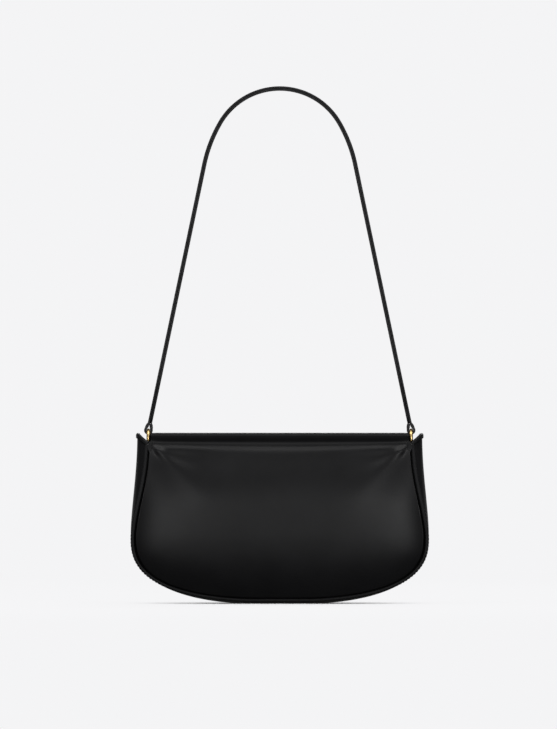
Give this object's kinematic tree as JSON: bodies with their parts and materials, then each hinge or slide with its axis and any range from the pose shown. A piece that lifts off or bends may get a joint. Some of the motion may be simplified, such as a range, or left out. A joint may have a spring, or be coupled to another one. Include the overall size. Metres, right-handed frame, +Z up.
{
  "type": "shoulder bag",
  "caption": "Small flap shoulder bag of smooth black leather with a rolled top, a gusset strip and a slim strap on wire rings.",
  "frame": {"origin": "middle of the flat that the bag stands on, under the middle of its body", "axes": "+Z up, +X to the right seen from the plain back, +Y out of the flap side; the pictured back faces -Y"},
  "size_m": [0.2384, 0.062, 0.4134],
  "materials": {
    "panel_leather": "smooth polished black calf leather with a fine grain",
    "gusset_leather": "smooth black calf leather, a little duller than the panels",
    "strap_leather": "smooth black calf leather with painted edges",
    "binding_leather": "thin black leather binding with painted edges",
    "lining": "matt black microsuede lining",
    "board": "plain pressed fibre board",
    "gilt_metal": "polished pale gold plating",
    "steel": "plain zinc-plated steel"
  },
  "bodies": {
    "bag": {"back_panel": "panel_leather", "front_panel": "panel_leather", "gusset": "gusset_leather", "gusset_binding_left": "binding_leather", "gusset_binding_right": "binding_leather", "back_board": "board", "front_board": "board", "base_board": "board", "lining_back": "lining", "lining_front": "lining", "lining_gusset": "lining", "pocket": "lining", "pocket_binding": "binding_leather", "ring_tab_left": "gusset_leather", "ring_tab_right": "gusset_leather", "snap_stud": "gilt_metal", "snap_stud_washer": "steel"},
    "flap": {"flap": "panel_leather", "flap_board": "board", "flap_lining": "lining", "snap_socket": "gilt_metal", "snap_socket_washer": "steel"},
    "strap": {"strap_outer": "strap_leather", "strap_inner": "strap_leather"},
    "ring_left": {"ring_left": "gilt_metal"},
    "ring_right": {"ring_right": "gilt_metal"}
  },
  "joints": [
    {"name": "flap_fold", "type": "hinge", "parent": "bag", "child": "flap", "pos_m": [0, 0.005, 0.1364], "axis": [1, 0, 0], "range_deg": [0, 120]},
    {"name": "strap_swing", "type": "hinge", "parent": "bag", "child": "strap", "pos_m": [0, -0.00148, 0.13155], "axis": [1, 0, 0], "range_deg": [-8, 68]},
    {"name": "ring_left_turn", "type": "hinge", "parent": "bag", "child": "ring_left", "pos_m": [-0.10505, -0.00148, 0.13155], "axis": [1, 0, 0], "range_deg": [-8, 68]},
    {"name": "ring_right_turn", "type": "hinge", "parent": "bag", "child": "ring_right", "pos_m": [0.10505, -0.00148, 0.13155], "axis": [1, 0, 0], "range_deg": [-8, 68]}
  ],
  "couplings": [
    {"joint": "ring_left_turn", "follows": "strap_swing", "ratio": 1},
    {"joint": "ring_right_turn", "follows": "strap_swing", "ratio": 1}
  ]
}
